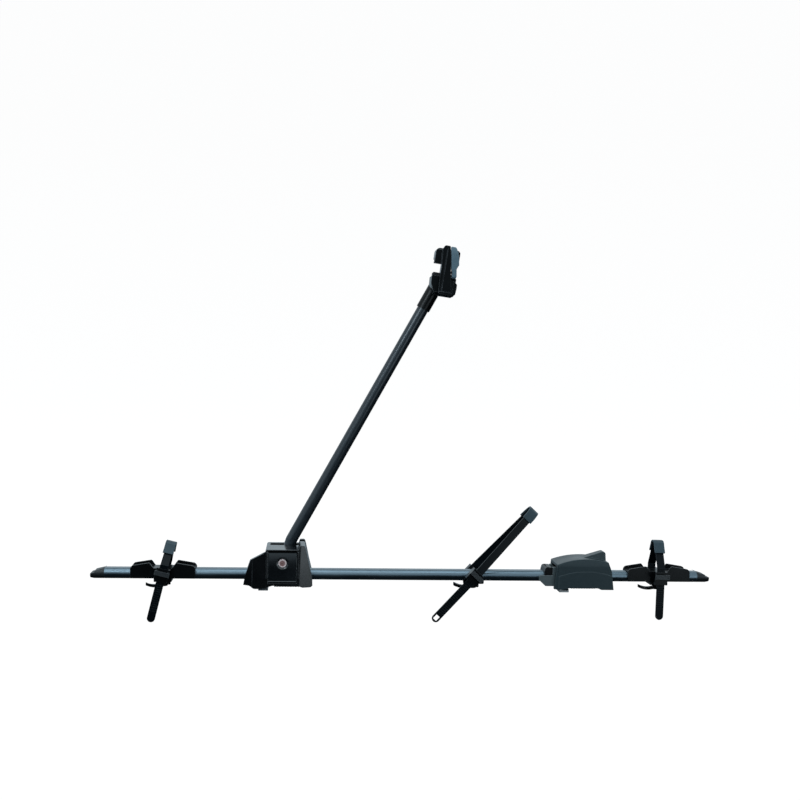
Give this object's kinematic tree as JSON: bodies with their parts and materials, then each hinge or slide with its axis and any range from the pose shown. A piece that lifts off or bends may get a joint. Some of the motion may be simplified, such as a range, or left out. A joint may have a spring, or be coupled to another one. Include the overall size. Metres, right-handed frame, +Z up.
{
  "type": "roof mounted bike carrier",
  "caption": "Roof bar bike carrier: oval rail on two clamp feet, folding arm with hinged frame jaw, wheel cradles and ladder straps.",
  "frame": {"origin": "middle of the front roof bar seat, on the plane where the rubber pad rests on the bar", "axes": "+X along the rail to the rear of the car, +Y across the rail to the side of the frame arm, +Z up"},
  "size_m": [1.425, 0.1385, 0.8615],
  "materials": {
    "rail_steel": "satin metallic blue-grey coating",
    "arm_steel": "semi-gloss dark anthracite coating",
    "black_plastic": "fine grained satin moulding",
    "pale_plastic": "plain moulding",
    "slate_plastic": "satin moulding",
    "strap_plastic": "tough smooth moulding",
    "rubber": "matt",
    "zinc_steel": "zinc plated",
    "grey_plastic": "satin moulding",
    "lock_metal": "plated",
    "bush_plastic": "plain"
  },
  "bodies": {
    "root": {"rail": "rail_steel", "front_end_cap": "black_plastic", "rear_end_cap": "black_plastic", "front_foot_shell": "black_plastic", "front_door_pin": "zinc_steel", "front_saddle": "pale_plastic", "front_bar_pad": "rubber", "front_foot_screws": "zinc_steel", "arm_bracket": "zinc_steel", "arm_pivot_bolt": "zinc_steel"},
    "access_door": {"front_access_door": "black_plastic", "front_lock_ring": "lock_metal"},
    "lock": {"front_lock_plug": "lock_metal"},
    "front_knob": {"front_clamp_bolt": "zinc_steel", "front_clamp_knob": "black_plastic"},
    "front_bar_claw": {"front_claw": "zinc_steel"},
    "arm": {"arm_bushes": "bush_plastic", "arm_root": "arm_steel", "arm_tube": "arm_steel", "arm_collar": "black_plastic"},
    "head": {"head_body": "black_plastic", "head_pivot_bolt": "zinc_steel", "lower_jaw_pad": "rubber", "hook_hinge_pin": "zinc_steel"},
    "hook": {"jaw_hook": "black_plastic", "upper_jaw_pad": "rubber", "lever_pin": "zinc_steel"},
    "lever": {"clamp_lever": "slate_plastic"},
    "rear_foot": {"rear_saddle": "pale_plastic", "rear_rail_bridge": "black_plastic", "rear_bar_pad": "rubber", "rear_bridge_screws": "zinc_steel"},
    "rear_hood": {"rear_cover": "black_plastic"},
    "rear_knob": {"rear_clamp_bolt": "zinc_steel", "rear_clamp_knob": "black_plastic"},
    "rear_bar_claw": {"rear_claw": "zinc_steel"},
    "front_rider": {"front_cradle": "black_plastic"},
    "front_strap_set": {"front_strap": "strap_plastic", "front_rim_pad": "slate_plastic", "front_buckle": "black_plastic", "front_anchor": "black_plastic"},
    "front_pawl_lever": {"front_pawl": "grey_plastic"},
    "front_key": {"front_clamp_key": "black_plastic"},
    "middle_rider": {"middle_saddle": "black_plastic"},
    "middle_strap_set": {"middle_strap": "strap_plastic", "middle_rim_pad": "slate_plastic", "middle_buckle": "black_plastic", "middle_anchor": "black_plastic"},
    "middle_pawl_lever": {"middle_pawl": "grey_plastic"},
    "middle_key": {"middle_clamp_key": "black_plastic"},
    "rear_rider": {"rear_cradle": "black_plastic"},
    "rear_strap_set": {"rear_strap": "strap_plastic", "rear_rim_pad": "slate_plastic", "rear_buckle": "black_plastic", "rear_anchor": "black_plastic"},
    "rear_pawl_lever": {"rear_pawl": "grey_plastic"},
    "rear_key": {"rear_clamp_key": "black_plastic"}
  },
  "joints": [
    {"name": "arm_fold", "type": "hinge", "parent": "root", "child": "arm", "pos_m": [-0.006, 0.048, 0.05], "axis": [0, 1, 0], "range_deg": [-30, 41]},
    {"name": "head_tilt", "type": "hinge", "parent": "arm", "child": "head", "pos_m": [0.33823, 0.048, 0.698], "axis": [0, 1, 0], "range_deg": [-20, 20]},
    {"name": "jaw_swing", "type": "hinge", "parent": "head", "child": "hook", "pos_m": [0.35413, 0.02325, 0.75938], "axis": [-0.9903, 0, 0.1392], "range_deg": [0, 100]},
    {"name": "lever_swing", "type": "hinge", "parent": "hook", "child": "lever", "pos_m": [0.34758, -0.035, 0.71284], "axis": [0.9903, 0, -0.1392], "range_deg": [0, 100]},
    {"name": "door_swing", "type": "hinge", "parent": "root", "child": "access_door", "pos_m": [-0.0075, -0.044, 0.012], "axis": [1, 0, 0], "range_deg": [0, 100]},
    {"name": "lock_turn", "type": "hinge", "parent": "access_door", "child": "lock", "pos_m": [-0.01, -0.046, 0.054], "axis": [0, 1, 0], "range_deg": [-90, 0]},
    {"name": "front_knob_turn", "type": "hinge", "parent": "root", "child": "front_knob", "pos_m": [-0.028, -0.03, 0.05], "axis": [0, 0, 1], "range_deg": [0, 2340]},
    {"name": "front_claw_lift", "type": "slide", "parent": "root", "child": "front_bar_claw", "axis": [0, 0, 1], "range_m": [-0.0259, 0]},
    {"name": "rear_foot_slide", "type": "slide", "parent": "root", "child": "rear_foot", "axis": [1, 0, 0], "range_m": [-0.03, 0]},
    {"name": "rear_cover_lift", "type": "slide", "parent": "rear_foot", "child": "rear_hood", "axis": [0, 0, 1], "range_m": [0, 0.045]},
    {"name": "rear_knob_turn", "type": "hinge", "parent": "rear_foot", "child": "rear_knob", "pos_m": [0.652, -0.03, 0.05], "axis": [0, 0, 1], "range_deg": [0, 2340]},
    {"name": "rear_claw_lift", "type": "slide", "parent": "rear_foot", "child": "rear_bar_claw", "axis": [0, 0, 1], "range_m": [-0.0259, 0]},
    {"name": "front_unit_slide", "type": "slide", "parent": "root", "child": "front_rider", "axis": [1, 0, 0], "range_m": [-0.05, 0.09]},
    {"name": "front_strap_swivel", "type": "hinge", "parent": "front_rider", "child": "front_strap_set", "pos_m": [-0.28, 0, 0.024], "axis": [0, 1, 0], "range_deg": [-15, 15]},
    {"name": "front_pawl_press", "type": "hinge", "parent": "front_strap_set", "child": "front_pawl_lever", "pos_m": [-0.27861, -0.0505, 0.02984], "axis": [0.9728, 0, -0.2317], "range_deg": [0, 30], "stiffness_Nm_per_rad": 0.02},
    {"name": "front_key_turn", "type": "hinge", "parent": "front_rider", "child": "front_key", "pos_m": [-0.28, 0, 0.002], "axis": [0, 0, 1], "range_deg": [-75, 12]},
    {"name": "middle_unit_slide", "type": "slide", "parent": "root", "child": "middle_rider", "axis": [1, 0, 0], "range_m": [-0.15, 0]},
    {"name": "middle_strap_swivel", "type": "hinge", "parent": "middle_rider", "child": "middle_strap_set", "pos_m": [0.428, 0, 0.024], "axis": [0, 1, 0], "range_deg": [-25, 5]},
    {"name": "middle_pawl_press", "type": "hinge", "parent": "middle_strap_set", "child": "middle_pawl_lever", "pos_m": [0.43209, -0.0505, 0.02839], "axis": [0.7314, 0, -0.682], "range_deg": [0, 30], "stiffness_Nm_per_rad": 0.02},
    {"name": "middle_key_turn", "type": "hinge", "parent": "middle_rider", "child": "middle_key", "pos_m": [0.428, 0, 0.002], "axis": [0, 0, 1], "range_deg": [-32, 56]},
    {"name": "rear_unit_slide", "type": "slide", "parent": "root", "child": "rear_rider", "axis": [1, 0, 0], "range_m": [-0.02, 0.015]},
    {"name": "rear_strap_swivel", "type": "hinge", "parent": "rear_rider", "child": "rear_strap_set", "pos_m": [0.861, 0, 0.024], "axis": [0, 1, 0], "range_deg": [-15, 15]},
    {"name": "rear_pawl_press", "type": "hinge", "parent": "rear_strap_set", "child": "rear_pawl_lever", "pos_m": [0.86113, -0.0505, 0.03], "axis": [0.9998, 0, -0.0209], "range_deg": [0, 30], "stiffness_Nm_per_rad": 0.02},
    {"name": "rear_key_turn", "type": "hinge", "parent": "rear_rider", "child": "rear_key", "pos_m": [0.861, 0, 0.002], "axis": [0, 0, 1], "range_deg": [-49, 39]}
  ],
  "couplings": [
    {"joint": "front_knob_turn", "follows": "front_claw_lift", "rad_per_m": -1570.8},
    {"joint": "rear_knob_turn", "follows": "rear_claw_lift", "rad_per_m": -1570.8}
  ]
}
